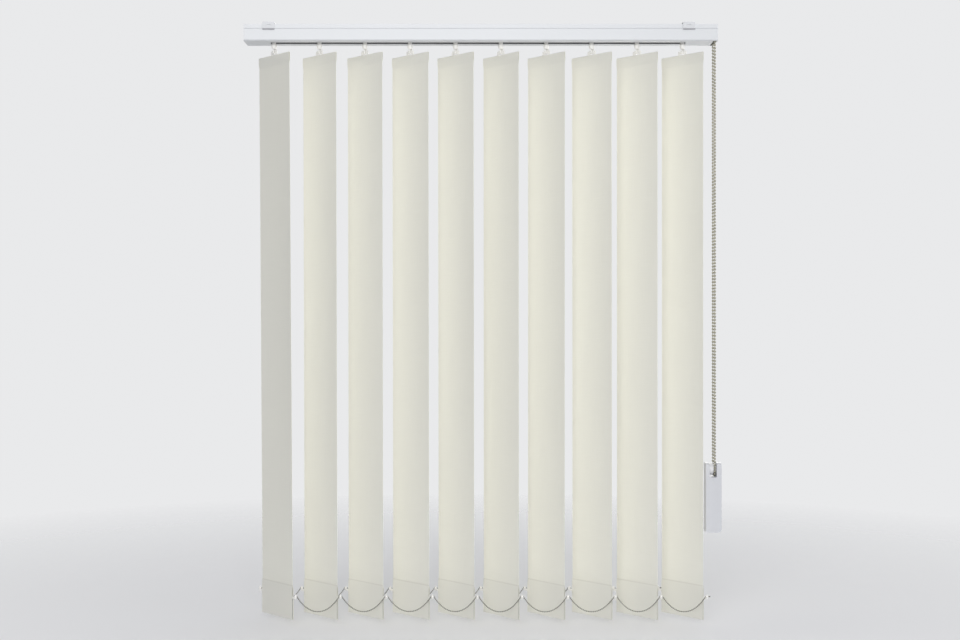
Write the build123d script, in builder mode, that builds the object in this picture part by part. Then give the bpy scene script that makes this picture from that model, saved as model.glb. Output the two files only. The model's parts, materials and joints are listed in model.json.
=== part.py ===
from build123d import *
import os
from math import cos, pi, radians, sin, tan

# A vertical blind with fabric louvres, worked by a bead chain on the right.
# Millimetres. X runs along the headrail, Y away from the room, Z up.
# The origin is on the ceiling plane, midway between the two brackets' screw holes.

os.makedirs("parts", exist_ok=True)

# Louvres, counted from the left
louvre_count = 10
louvre_pitch = 76.0
first_louvre_x = -343.0
louvre_width = 89.0
louvre_bottom_z = -991.0
rest_angle = 48.0  # between a louvre and the rail, right-hand edge towards the room
fabric_thickness = 0.5
pocket_slack = 0.15  # between the fabric and what its pocket holds

# Brackets
bracket_spacing = 698.0
bracket_width = 20.0
bracket_sheet = 1.2
screw_hole_radius = 2.5
screw_head_room = 2.3  # between the bracket's plate and the rail

# Headrail, an extrusion
rail_left_x = -388.5
rail_right_x = 384.5
rail_depth = 48.0
rail_height = 28.0
rail_wall = 1.5
rail_corner = 3.0
rail_shoulder_drop = 8.5  # from the rail's top down to the shoulder under its grooves
groove_height = 1.5
groove_bite = 1.0
slot_width = 16.0
slot_lip = 1.2
snap_gap = 0.1  # between a bracket's lips and the rail

# Tilt rod and its drive
rod_flats = 4.6
rod_setback = 9.0  # the rod lies this far in front of the stems
rod_drop = 14.0  # below the rail's top
running_gap = 0.05
worm_radius = 3.5
worm_length = 16.6
bead_diameter = 4.0
bead_pitch = 5.25
sprocket_beads = 12
mouth_gap = 0.5  # round the bead chain where it leaves the end cap
cap_wall = 1.1  # of the control end cap, thinner than the rail's for the bead chain

# Toothed wheel at the top of each stem
teeth = 10
wheel_tip_radius = 5.28
wheel_root_radius = 3.3
tooth_tip_width = 0.7
tooth_root_width = 1.7
wheel_height = 6.0

# Carriers
carrier_length = 18.0
carrier_depth = 32.0
carrier_top_rise = 5.5  # above the rod's axis
slide_gap = 0.2
strip_lanes = 4
strip_thickness = 0.4
strip_width = 5.0
strip_lane_pitch = 1.0
strip_overhang = 10.0

# Stem and hook
stem_radius = 3.5
bulb_radius = 4.5
bulb_top_gap = 1.0  # below the rail
bulb_height = 8.5
hook_width = 5.0
hook_thickness = 1.8
hook_radius = 2.5

# Hanger in the top pocket
hanger_thickness = 1.4
hanger_width = 70.0
hanger_tab_width = 18.0
eye_width = 8.0
eye_height = 5.3
bar_height = 3.2
hanger_depth = 11.0
hang_gap = 0.3

# Weight in the bottom pocket
weight_plate_thickness = 1.8
weight_plate_height = 40.0
seam_height = 60.0  # of the bottom pocket's seam above the hem
pin_reach = 52.5  # from the louvre's middle to each chain pin
pin_radius = 1.0
pin_height = 4.5

# Bottom chains
chain_sag = 25.0
chain_radius = 0.95
chain_sides = 8
ring_outer_radius = 2.3
ring_height = 2.4
ring_gap = 0.15
swag_end_slope = 60.0

# Chain weight
loop_bottom_z = -753.6  # middle of the lowest bead
weight_width = 26.0
weight_depth = 24.0
weight_height = 115.6
weight_offset = -2.0  # the body isn't centred on the chain
fork_width = 12.0
left_prong = 6.0
weight_pin_radius = 1.5
roller_width = 11.5

# Places worked out from the sizes above
rail_top_z = -(bracket_sheet + screw_head_room)
rail_bottom_z = rail_top_z - rail_height
rail_neck = rail_depth / 2 - bracket_sheet - 2 * snap_gap
shoulder_z = rail_top_z - rail_shoulder_drop
inner_floor_z = rail_bottom_z + rail_wall
rod_z = rail_top_z - rod_drop
rod_corner = rod_flats / 2 / cos(radians(30))
rod_bore = rod_corner + running_gap
louvre_x = [first_louvre_x + i * louvre_pitch for i in range(louvre_count)]
loop_radius = bead_pitch * sprocket_beads / (2 * pi)
chain_x = rail_right_x + 8.0
end_cap_x = rail_right_x + 12.5


def half_outline():
    """Outside of the rail's section from its top middle round to its bottom middle."""
    groove_y = rail_neck - groove_bite
    return [
        (0, rail_top_z),
        (rail_neck, rail_top_z),
        (rail_neck, shoulder_z + groove_height),
        (groove_y, shoulder_z + groove_height),
        (groove_y, shoulder_z),
        (rail_depth / 2, shoulder_z),
        (rail_depth / 2, rail_bottom_z),
        (0, rail_bottom_z),
    ]


def half_cavity(gap=0.0):
    """Inside of the rail's section, drawn in by a gap for what slides into it."""
    neck_y = rail_neck - groove_bite - rail_wall - gap
    wide_y = rail_depth / 2 - rail_wall - gap
    step_z = shoulder_z - rail_wall - gap
    return [
        (0, rail_top_z - rail_wall - gap),
        (neck_y, rail_top_z - rail_wall - gap),
        (neck_y, step_z),
        (wide_y, step_z),
        (wide_y, inner_floor_z + gap),
        (0, inner_floor_z + gap),
    ]


# Headrail
with BuildPart() as headrail:
    with BuildSketch(Plane.YZ.offset(rail_left_x)) as rail_section:
        with BuildLine():
            Polyline(*half_outline())
            mirror(about=Plane.YZ)
        make_face()
        bottom_corners = rail_section.vertices().group_by(Axis.Y)[0].sort_by(Axis.X)
        fillet([bottom_corners[0], bottom_corners[-1]], rail_corner)
        with BuildLine():
            Polyline(*half_cavity())
            mirror(about=Plane.YZ)
        make_face(mode=Mode.SUBTRACT)
        with Locations((0, rail_bottom_z + rail_wall / 2)):
            Rectangle(slot_width, 2 * rail_wall, mode=Mode.SUBTRACT)
        lip_y = (slot_width + slot_lip) / 2
        with Locations((lip_y, inner_floor_z), (-lip_y, inner_floor_z)):
            Rectangle(slot_lip, slot_lip, align=(Align.CENTER, Align.MIN))
    extrude(amount=rail_right_x - rail_left_x)
headrail.part.label = "headrail"
export_step(headrail.part, "parts/headrail.step")


# End cap on the control side: a box as wide as the rail, open towards it
cap_outer_wall = 1.4
with BuildPart() as control_end_cap:
    with BuildSketch(Plane.YZ.offset(rail_right_x)) as cap_section:
        with BuildLine():
            Polyline(*half_outline())
            mirror(about=Plane.YZ)
        make_face()
        cap_corners = cap_section.vertices().group_by(Axis.Y)[0].sort_by(Axis.X)
        fillet([cap_corners[0], cap_corners[-1]], rail_corner)
    extrude(amount=end_cap_x - rail_right_x)
    with BuildSketch(Plane.YZ.offset(rail_right_x)):
        with BuildLine():
            Polyline(*half_cavity(cap_wall - rail_wall))
            mirror(about=Plane.YZ)
        make_face()
    extrude(amount=end_cap_x - rail_right_x - cap_outer_wall, mode=Mode.SUBTRACT)
    mouth_width = bead_diameter + 2 * mouth_gap
    mouth_length = 2 * (rod_setback + loop_radius + bead_diameter / 2 + mouth_gap)
    with Locations((chain_x, 0, rail_bottom_z)):
        Box(mouth_width, mouth_length, 2 * rail_wall + 1, mode=Mode.SUBTRACT)
    outer_rim = control_end_cap.faces().sort_by(Axis.X)[-1].edges().sort_by(Axis.Z)[-1]
    chamfer(outer_rim, 0.6)
control_end_cap.part.label = "control_end_cap"
export_step(control_end_cap.part, "parts/control_end_cap.step")


# Both ends close the slot with a tongue that stops beside the outermost stems
tongue_top_z = inner_floor_z + 0.9
tongue_half = slot_width / 2 - slide_gap
stem_room = stem_radius + 2.0


def tongue(left_x, right_x):
    """Box of the tongue that fills the rail's slot between two places along it."""
    middle = ((left_x + right_x) / 2, 0, (rail_bottom_z + tongue_top_z) / 2)
    size = (right_x - left_x, 2 * tongue_half, tongue_top_z - rail_bottom_z)
    return middle, size


# Control housing: slides into the rail's right end and carries the rod
housing_left_x = louvre_x[-1] + carrier_length / 2 + 1.5
with BuildPart() as control_housing:
    with BuildSketch(Plane.YZ.offset(housing_left_x)):
        with BuildLine():
            Polyline(*half_cavity(slide_gap))
            mirror(about=Plane.YZ)
        make_face()
        lips_span = slot_width + 2 * slot_lip + 2 * slide_gap
        with Locations((0, inner_floor_z)):
            Rectangle(lips_span, 2 * (slot_lip + slide_gap), mode=Mode.SUBTRACT)
    extrude(amount=rail_right_x - housing_left_x)
    place, size = tongue(louvre_x[-1] + stem_room, rail_right_x)
    with Locations(place):
        Box(*size)
    web_top_z = inner_floor_z + slot_lip + slide_gap
    with BuildSketch(Plane.YZ.offset(housing_left_x)):
        with Locations((0, tongue_top_z)):
            Rectangle(
                2 * tongue_half,
                web_top_z - tongue_top_z,
                align=(Align.CENTER, Align.MIN),
            )
    extrude(amount=rail_right_x - housing_left_x)
    pocket_depth = 26.0
    with BuildSketch(Plane.YZ.offset(housing_left_x)):
        with Locations((rod_setback, rod_z)):
            Rectangle(14, 18)
    extrude(amount=pocket_depth, mode=Mode.SUBTRACT)
    with BuildSketch(Plane.YZ.offset(rail_right_x)):
        with Locations((-rod_setback, rod_z)):
            Circle(rod_bore + 1.6)
    extrude(amount=chain_x - rail_right_x - bead_diameter / 2 - 1.2)
    with BuildSketch(Plane.YZ.offset(housing_left_x)):
        with Locations((-rod_setback, rod_z)):
            Circle(rod_bore)
    extrude(amount=chain_x - housing_left_x, mode=Mode.SUBTRACT)
control_housing.part.label = "control_housing"
export_step(control_housing.part, "parts/control_housing.step")


# Far end cap: outer plate, hollow plug, tongue and the rod's blind bearing
cap_plate = 2.0
plug_length = 14.0
plug_wall = 2.0
with BuildPart() as far_end_cap:
    with BuildSketch(Plane.YZ.offset(rail_left_x - cap_plate)) as plate_section:
        with BuildLine():
            Polyline(*half_outline())
            mirror(about=Plane.YZ)
        make_face()
        plate_corners = plate_section.vertices().group_by(Axis.Y)[0].sort_by(Axis.X)
        fillet([plate_corners[0], plate_corners[-1]], rail_corner)
    extrude(amount=cap_plate)
    with BuildSketch(Plane.YZ.offset(rail_left_x)):
        with BuildLine():
            Polyline(*half_cavity(slide_gap))
            mirror(about=Plane.YZ)
        make_face()
        with BuildLine():
            Polyline(*half_cavity(slide_gap + plug_wall))
            mirror(about=Plane.YZ)
        make_face(mode=Mode.SUBTRACT)
        with Locations((0, inner_floor_z)):
            Rectangle(lips_span, 2 * (slot_lip + slide_gap), mode=Mode.SUBTRACT)
    extrude(amount=plug_length)
    place, size = tongue(rail_left_x, louvre_x[0] - stem_room)
    with Locations(place):
        Box(*size)
    with BuildSketch(Plane.YZ.offset(rail_left_x)):
        with Locations((-rod_setback, rod_z)):
            Circle(rod_bore + 2.0)
    extrude(amount=plug_length)
    with BuildSketch(Plane.YZ.offset(rail_left_x)):
        with Locations((-rod_setback, rod_z)):
            Circle(rod_bore)
    extrude(amount=plug_length, mode=Mode.SUBTRACT)
far_end_cap.part.label = "far_end_cap"
export_step(far_end_cap.part, "parts/far_end_cap.step")


# Brackets: spring steel clips whose lips snap into the rail's grooves
lip_in = rail_neck + snap_gap
lip_out = lip_in + bracket_sheet
tip_y = rail_neck - groove_bite + 2 * snap_gap
tip_top_z = shoulder_z + groove_height - 2 * snap_gap
tip_bottom_z = shoulder_z + 2 * snap_gap
tab_reach = 1.8
with BuildPart() as bracket:
    with BuildSketch(Plane.YZ):
        with BuildLine():
            Polyline(
                (-lip_out, 0),
                (lip_out, 0),
                (lip_out, tip_bottom_z),
                (tip_y, tip_bottom_z),
                (tip_y, tip_top_z),
                (lip_in, tip_top_z),
                (lip_in, -bracket_sheet),
                (-lip_in, -bracket_sheet),
                (-lip_in, tip_top_z),
                (-tip_y, tip_top_z),
                (-tip_y, tip_bottom_z),
                (-lip_out, tip_bottom_z),
                (-lip_out - tab_reach, tip_bottom_z - 1.4),
                (-lip_out - tab_reach, tip_bottom_z - 0.4),
                (-lip_out, tip_top_z + 0.6),
                close=True,
            )
        make_face()
    extrude(amount=bracket_width / 2, both=True)
    with Locations((0, 0, 0)):
        Hole(screw_hole_radius, depth=2 * bracket_sheet)
    front_window = (0, -lip_in, (tip_top_z - bracket_sheet) / 2)
    with Locations(front_window):
        Box(6, 4 * bracket_sheet, 3, mode=Mode.SUBTRACT)
for side, place_x in (("left", -bracket_spacing / 2), ("right", bracket_spacing / 2)):
    placed = bracket.part.moved(Location((place_x, 0, 0)))
    placed.label = f"bracket_{side}"
    export_step(placed, f"parts/bracket_{side}.step")


# Tilt rod: a six-sided bar from the far end cap to the sprocket
rod_left_x = rail_left_x + 1.0
rod_right_x = end_cap_x - cap_outer_wall - 0.4
with BuildPart() as tilt_rod:
    with BuildSketch(Plane.YZ.offset(rod_left_x)):
        with Locations((-rod_setback, rod_z)):
            RegularPolygon(rod_corner, 6)
    extrude(amount=rod_right_x - rod_left_x)
tilt_rod.part.label = "tilt_rod"
export_step(tilt_rod.part, "parts/tilt_rod.step")


# Sprocket: two flanges either side of a grooved hub, one flat for each bead
groove_width = bead_diameter + 0.3
flange_thickness = 0.7
sprocket_groove = loop_radius - bead_diameter / 2 - 0.13
sprocket_rim = loop_radius - 0.4
with BuildPart() as chain_sprocket:
    for start, length, radius in (
        (-groove_width / 2 - flange_thickness, flange_thickness, sprocket_rim),
        (-groove_width / 2, groove_width, sprocket_groove),
        (groove_width / 2, flange_thickness, sprocket_rim),
    ):
        with BuildSketch(Plane.YZ.offset(chain_x + start)):
            with Locations((-rod_setback, rod_z)):
                RegularPolygon(radius, sprocket_beads)
        extrude(amount=length)
    with BuildSketch(Plane.YZ.offset(chain_x - groove_width)):
        with Locations((-rod_setback, rod_z)):
            RegularPolygon(rod_corner + running_gap, 6)
    extrude(amount=2 * groove_width, mode=Mode.SUBTRACT)
chain_sprocket.part.label = "chain_sprocket"
export_step(chain_sprocket.part, "parts/chain_sprocket.step")


# Bead chain: a closed loop over the sprocket and under the weight's roller
roller_z = loop_bottom_z + loop_radius
with BuildPart() as control_chain:
    with BuildLine(Plane.YZ.offset(chain_x)) as chain_route:
        Line(
            (-rod_setback - loop_radius, rod_z),
            (-rod_setback - loop_radius, roller_z),
        )
        CenterArc((-rod_setback, roller_z), loop_radius, 180, 180)
        Line(
            (-rod_setback + loop_radius, roller_z),
            (-rod_setback + loop_radius, rod_z),
        )
        CenterArc((-rod_setback, rod_z), loop_radius, 0, 180)
    strand_start = (chain_x, -rod_setback - loop_radius, rod_z)
    with BuildSketch(Plane(origin=strand_start, z_dir=(0, 0, -1))):
        Circle(bead_diameter / 2)
    sweep(path=chain_route.line)
control_chain.part.label = "control_chain"
export_step(control_chain.part, "parts/control_chain.step")
chain_length = 2 * (rod_z - roller_z) + 2 * pi * loop_radius
chain_section = pi * (bead_diameter / 2) ** 2
print("bead chain length", round(chain_length, 1), "arc radius", round(loop_radius, 2))
print("tube volume", round(control_chain.part.volume), "section x length",
      round(chain_section * chain_length))


# Chain weight: a forked body that hangs on the loop by a roller and its pin
weight_x = chain_x + weight_offset
weight_top_z = roller_z + 10.8
fork_floor_z = loop_bottom_z - bead_diameter / 2 - 0.8
fork_x = weight_x - weight_width / 2 + left_prong + fork_width / 2
with BuildPart() as weight_body:
    with BuildSketch(Plane.XZ.offset(rod_setback + weight_depth / 2)) as weight_face:
        with Locations((weight_x, weight_top_z)):
            Rectangle(weight_width, weight_height, align=(Align.CENTER, Align.MAX))
        low_right = weight_face.vertices().group_by(Axis.Y)[0].sort_by(Axis.X)
        fillet(low_right[-1], 6)
        fillet(weight_face.vertices().group_by(Axis.Y)[0].sort_by(Axis.X)[0], 2)
    extrude(amount=-weight_depth)
    with BuildSketch(Plane.XZ.offset(rod_setback + weight_depth)):
        with Locations((fork_x, fork_floor_z)):
            Rectangle(fork_width, weight_height, align=(Align.CENTER, Align.MIN))
    extrude(amount=-2 * weight_depth, mode=Mode.SUBTRACT)
    prong_ends = weight_body.edges().filter_by(Axis.X).group_by(Axis.Z)[-1]
    fillet(prong_ends, 6)
    with BuildSketch(Plane.YZ.offset(weight_x - weight_width)):
        with Locations((-rod_setback, roller_z)):
            Circle(weight_pin_radius + 0.02)
    extrude(amount=2 * weight_width, mode=Mode.SUBTRACT)
    with BuildSketch(Plane.XZ.offset(rod_setback + weight_depth / 2)):
        with Locations((weight_x, fork_floor_z - 2.6)):
            Circle(1.3)
    extrude(amount=0.8)
weight_body.part.label = "weight_body"
export_step(weight_body.part, "parts/weight_body.step")

with BuildPart() as weight_pin:
    with BuildSketch(Plane.YZ.offset(weight_x - weight_width / 2 + 1)):
        with Locations((-rod_setback, roller_z)):
            Circle(weight_pin_radius)
    extrude(amount=weight_width - 2)
weight_pin.part.label = "weight_pin"
export_step(weight_pin.part, "parts/weight_pin.step")

roller_end = (roller_width - groove_width) / 2
with BuildPart() as weight_roller:
    groove_start = chain_x - groove_width / 2 - (fork_x - roller_width / 2)
    for start, length, radius in (
        (0, groove_start, sprocket_rim),
        (groove_start, groove_width, sprocket_groove),
        (groove_start + groove_width, roller_width - groove_start - groove_width,
         sprocket_rim),
    ):
        with BuildSketch(Plane.YZ.offset(fork_x - roller_width / 2 + start)):
            with Locations((-rod_setback, roller_z)):
                RegularPolygon(radius, 2 * sprocket_beads)
        extrude(amount=length)
    with BuildSketch(Plane.YZ.offset(fork_x - roller_width)):
        with Locations((-rod_setback, roller_z)):
            Circle(weight_pin_radius + running_gap)
    extrude(amount=2 * roller_width, mode=Mode.SUBTRACT)
weight_roller.part.label = "weight_roller"
export_step(weight_roller.part, "parts/weight_roller.step")


# Carrier: glider feet on the rail's floor, a pocket for worm and toothed wheel,
# and a window through which the other carriers' spacer strips slide
foot_z = inner_floor_z + slide_gap
carrier_top_z = rod_z + carrier_top_rise
wheel_floor_z = rod_z - wheel_height / 2 - 2 * running_gap
pocket_gap = 0.35
worm_room = wheel_tip_radius + pocket_gap
strip_y = 11.8
lane_top_z = carrier_top_z - 1.5
strip_length = louvre_pitch + strip_overhang
thread_half = 5.3
with BuildPart() as carrier_form:
    with Locations((0, 0, (foot_z + carrier_top_z) / 2)):
        Box(carrier_length, carrier_depth, carrier_top_z - foot_z)
    upright_edges = carrier_form.edges().filter_by(Axis.Z)
    chamfer(upright_edges, 1.5)
    lips_room = slot_width + 2 * slot_lip + 4 * slide_gap
    with Locations((0, 0, inner_floor_z)):
        Box(carrier_length, lips_room, 2 * (slot_lip + 2 * slide_gap), mode=Mode.SUBTRACT)
    with BuildSketch(Plane.XY.offset(wheel_floor_z)):
        Circle(wheel_tip_radius + pocket_gap)
    extrude(amount=carrier_top_z - wheel_floor_z, mode=Mode.SUBTRACT)
    with BuildSketch(Plane.YZ.offset(-thread_half)):
        with Locations((-rod_setback, rod_z)):
            Circle(worm_room)
            Rectangle(2 * worm_room, rail_height, align=(Align.CENTER, Align.MIN))
    extrude(amount=2 * thread_half, mode=Mode.SUBTRACT)
    with BuildSketch(Plane.YZ.offset(-carrier_length)):
        with Locations((-rod_setback, rod_z)):
            Circle(worm_radius + running_gap)
            Rectangle(
                2 * (worm_radius + running_gap),
                rail_height,
                align=(Align.CENTER, Align.MIN),
            )
    extrude(amount=2 * carrier_length, mode=Mode.SUBTRACT)
    with BuildSketch(Plane.XY.offset(rail_bottom_z)):
        Circle(stem_radius + running_gap)
    extrude(amount=rail_height / 2, mode=Mode.SUBTRACT)
    window_height = strip_lanes * strip_lane_pitch + 0.3
    with Locations((0, strip_y, lane_top_z + 0.5 - window_height / 2)):
        Box(carrier_length, strip_width + 1, window_height, mode=Mode.SUBTRACT)

for i, x in enumerate(louvre_x):
    lane_z = lane_top_z - (i % strip_lanes) * strip_lane_pitch
    with BuildPart() as carrier:
        add(carrier_form.part)
        if i > 0:
            with Locations((2 - strip_length, strip_y, lane_z)):
                Box(
                    strip_length,
                    strip_width,
                    strip_thickness,
                    align=(Align.MIN, Align.CENTER, Align.CENTER),
                )
            with Locations((0, strip_y, lane_z)):
                Box(4, strip_width + 1.2, strip_thickness)
    placed = carrier.part.moved(Location((x, 0, 0)))
    placed.label = f"carrier_{i + 1:02d}"
    export_step(placed, f"parts/carrier_{i + 1:02d}.step")


# Worm: slides on the rod and turns with it; its fine thread isn't cut here
with BuildPart() as worm:
    with BuildSketch(Plane.YZ.offset(-worm_length / 2)):
        with Locations((-rod_setback, rod_z)):
            Circle(worm_radius)
            RegularPolygon(rod_corner + running_gap, 6, mode=Mode.SUBTRACT)
    extrude(amount=worm_length)
for i, x in enumerate(louvre_x):
    placed = worm.part.moved(Location((x, 0, 0)))
    placed.label = f"worm_{i + 1:02d}"
    export_step(placed, f"parts/worm_{i + 1:02d}.step")


def wheel_corners():
    """Corners of the toothed wheel, four for each tooth, counter-clockwise."""
    corners = []
    for tooth in range(teeth):
        middle = radians(360 / teeth * tooth)
        for radius, half in (
            (wheel_root_radius, -tooth_root_width / 2),
            (wheel_tip_radius, -tooth_tip_width / 2),
            (wheel_tip_radius, tooth_tip_width / 2),
            (wheel_root_radius, tooth_root_width / 2),
        ):
            x = radius * cos(middle) - half * sin(middle)
            y = radius * sin(middle) + half * cos(middle)
            corners.append((x, y))
    return corners


# Hook: toothed wheel, stem and bulb, then a blade bent into a hook.
# It is drawn with the louvre along X, and turned to the rest angle when placed.
bulb_top_z = rail_bottom_z - bulb_top_gap
bulb_bottom_z = bulb_top_z - bulb_height
hook_centre_z = bulb_bottom_z - 5.4
saddle_z = hook_centre_z - hook_radius + hook_thickness / 2
with BuildPart() as hook_form:
    with BuildSketch(Plane.XY.offset(rod_z - wheel_height / 2)):
        with BuildLine():
            Polyline(*wheel_corners(), close=True)
        make_face()
    extrude(amount=wheel_height)
    with BuildSketch(Plane.XZ):
        with BuildLine():
            Polyline(
                (0, rod_z),
                (wheel_root_radius - 0.4, rod_z),
                (wheel_root_radius - 0.4, rod_z - wheel_height / 2),
                (stem_radius, rod_z - wheel_height / 2),
                (stem_radius, bulb_top_z),
                (bulb_radius, bulb_top_z - 1.5),
                (bulb_radius, bulb_bottom_z + 3.5),
                (hook_radius + hook_thickness / 2, bulb_bottom_z),
                (0, bulb_bottom_z),
                close=True,
            )
        make_face()
    revolve(axis=Axis.Z)
    with BuildSketch(Plane.YZ.offset(-hook_width / 2)):
        with Locations((0, hook_centre_z)):
            Circle(hook_radius + hook_thickness / 2)
            Circle(hook_radius - hook_thickness / 2, mode=Mode.SUBTRACT)
            Rectangle(
                4 * hook_radius,
                2 * hook_radius,
                align=(Align.CENTER, Align.MIN),
                mode=Mode.SUBTRACT,
            )
        with Locations((hook_radius, hook_centre_z)):
            Rectangle(
                hook_thickness,
                bulb_bottom_z - hook_centre_z + 1,
                align=(Align.CENTER, Align.MIN),
            )
        with Locations((-hook_radius, hook_centre_z)):
            Rectangle(hook_thickness, 2.4, align=(Align.CENTER, Align.MIN))
    extrude(amount=hook_width)
for i, x in enumerate(louvre_x):
    placed = hook_form.part.moved(Location((x, 0, 0), (0, 0, -rest_angle)))
    placed.label = f"hook_{i + 1:02d}"
    export_step(placed, f"parts/hook_{i + 1:02d}.step")


# Louvre: the fabric with its two pockets, the hanger and the bottom weight
bar_bottom_z = saddle_z + hang_gap
bar_top_z = bar_bottom_z + bar_height
eye_bottom_z = bar_bottom_z - eye_height
fabric_top_z = bar_bottom_z - 3.3
notch_depth = 4.0
hanger_bottom_z = eye_bottom_z - hanger_depth
top_pocket = hanger_thickness / 2 + pocket_slack
low_pocket = weight_plate_thickness / 2 + pocket_slack
plate_bottom_z = louvre_bottom_z + fabric_thickness + pocket_slack
plate_top_z = plate_bottom_z + weight_plate_height
seam_z = louvre_bottom_z + seam_height
taper = 4.0


def half_fabric():
    """Outside of the fabric's section from its top fold to its bottom fold."""
    sheet = fabric_thickness / 2
    top_out = top_pocket + fabric_thickness
    low_out = low_pocket + fabric_thickness
    return [
        (0, fabric_top_z),
        (top_out - 0.4, fabric_top_z),
        (top_out, fabric_top_z - 0.8),
        (top_out, hanger_bottom_z),
        (sheet, hanger_bottom_z - taper),
        (sheet, seam_z),
        (low_out, seam_z - taper),
        (low_out, louvre_bottom_z + 0.8),
        (low_out - 0.4, louvre_bottom_z),
        (0, louvre_bottom_z),
    ]


with BuildPart() as louvre_form:
    # fabric
    with BuildSketch(Plane.YZ.offset(-louvre_width / 2)):
        with BuildLine():
            Polyline(*half_fabric())
            mirror(about=Plane.YZ)
        make_face()
        top_of_pocket = fabric_top_z - fabric_thickness
        with Locations((0, (top_of_pocket + hanger_bottom_z - pocket_slack) / 2)):
            Rectangle(
                2 * top_pocket,
                top_of_pocket - hanger_bottom_z + pocket_slack,
                mode=Mode.SUBTRACT,
            )
        low_of_pocket = louvre_bottom_z + fabric_thickness
        with Locations((0, (low_of_pocket + plate_top_z + pocket_slack) / 2)):
            Rectangle(
                2 * low_pocket,
                plate_top_z + pocket_slack - low_of_pocket,
                mode=Mode.SUBTRACT,
            )
    extrude(amount=louvre_width)
    with Locations((0, 0, fabric_top_z)):
        Box(hanger_tab_width + 2, 6, 2 * notch_depth, mode=Mode.SUBTRACT)
    # hanger
    with BuildSketch(Plane.XZ.offset(-hanger_thickness / 2)):
        with Locations((0, hanger_bottom_z)):
            Rectangle(
                hanger_width,
                top_of_pocket - pocket_slack - hanger_bottom_z,
                align=(Align.CENTER, Align.MIN),
            )
            Rectangle(
                hanger_tab_width,
                bar_top_z - hanger_bottom_z,
                align=(Align.CENTER, Align.MIN),
            )
        with Locations((0, eye_bottom_z)):
            Rectangle(
                eye_width,
                eye_height,
                align=(Align.CENTER, Align.MIN),
                mode=Mode.SUBTRACT,
            )
    extrude(amount=hanger_thickness)
    # bottom weight, with an arm and a chain pin at each top corner
    arm_height = 3.0
    arm_top_z = plate_top_z - 2.0
    plate_half = louvre_width / 2 - 1.5
    with BuildSketch(Plane.XZ.offset(-weight_plate_thickness / 2)):
        with Locations((0, plate_bottom_z)):
            Rectangle(
                2 * plate_half,
                weight_plate_height,
                align=(Align.CENTER, Align.MIN),
            )
        with Locations((0, arm_top_z)):
            Rectangle(
                2 * (pin_reach + pin_radius),
                arm_height,
                align=(Align.CENTER, Align.MAX),
            )
    extrude(amount=weight_plate_thickness)
    with BuildSketch(Plane.XY.offset(arm_top_z)):
        with Locations((pin_reach, 0), (-pin_reach, 0)):
            Circle(pin_radius)
    extrude(amount=pin_height)
for i, x in enumerate(louvre_x):
    placed = louvre_form.part.moved(Location((x, 0, 0), (0, 0, -rest_angle)))
    placed.label = f"louvre_{i + 1:02d}"
    export_step(placed, f"parts/louvre_{i + 1:02d}.step")


# Bottom chains: a ring on each louvre's pin, and between two rings a swag of three
# arcs. The two radii follow from the span and the sag, because each arc's width and
# depth are its radius times the change of sine and cosine along it.
ring_z = arm_top_z + ring_gap + ring_height / 2
ring_inner_radius = pin_radius + ring_gap
span_start = ring_outer_radius - 0.4
half_span = louvre_pitch / 2 - span_start
base_half_turn = swag_end_slope / 2
side_turn = swag_end_slope - base_half_turn
width_base = sin(radians(base_half_turn))
width_side = sin(radians(swag_end_slope)) - width_base
depth_base = 1 - cos(radians(base_half_turn))
depth_side = cos(radians(base_half_turn)) - cos(radians(swag_end_slope))
share = width_base * depth_side - depth_base * width_side
base_radius = (half_span * depth_side - chain_sag * width_side) / share
side_radius = (chain_sag * width_base - half_span * depth_base) / share
print("swag radii", round(side_radius, 1), round(base_radius, 1))


def bottom_chain(edge):
    """One bottom chain. Edge is 1 for the louvres' room edges and -1 for the others."""
    pin_dx = edge * pin_reach * cos(radians(rest_angle))
    pin_y = -edge * pin_reach * sin(radians(rest_angle))
    slope = radians(swag_end_slope)
    with BuildPart() as chain:
        for x in louvre_x[:-1]:
            start = (x + pin_dx + span_start, ring_z)
            with BuildLine(Plane.XZ.offset(-pin_y)) as swag:
                falling = JernArc(start, (cos(slope), -sin(slope)), side_radius, side_turn)
                lowest = JernArc(falling @ 1, falling % 1, base_radius, swag_end_slope)
                JernArc(lowest @ 1, lowest % 1, side_radius, side_turn)
            with BuildSketch(Plane(origin=falling @ 0, z_dir=falling % 0)):
                RegularPolygon(chain_radius, chain_sides)
            sweep(path=swag.line)
        with BuildSketch(Plane.XY.offset(ring_z - ring_height / 2)):
            with Locations([(x + pin_dx, pin_y) for x in louvre_x]):
                Circle(ring_outer_radius)
        extrude(amount=ring_height)
        with BuildSketch(Plane.YZ.offset(louvre_x[-1] + pin_dx + span_start)):
            with Locations((pin_y, ring_z)):
                RegularPolygon(chain_radius, chain_sides)
        extrude(amount=3.5)
        with BuildSketch(Plane.XY.offset(ring_z - ring_height)):
            with Locations([(x + pin_dx, pin_y) for x in louvre_x]):
                Circle(ring_inner_radius)
        extrude(amount=2 * ring_height, mode=Mode.SUBTRACT)
    return chain.part


for name, edge in (("front_bottom_chain", 1), ("rear_bottom_chain", -1)):
    linked = bottom_chain(edge)
    linked.label = name
    export_step(linked, f"parts/{name}.step")
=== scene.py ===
# %% [markdown]
# # A vertical blind in Blender
#
# A vertical blind hangs fabric louvres from small carriers that slide in a headrail.
# A bead chain at one end turns them all, and thin chains hold their lower ends apart.
# The rail, hooks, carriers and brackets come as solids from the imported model, at their
# real size. This lesson dresses them: it makes the cloth, the beads, the threads and
# the finishes, and then the light and the camera.

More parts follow.
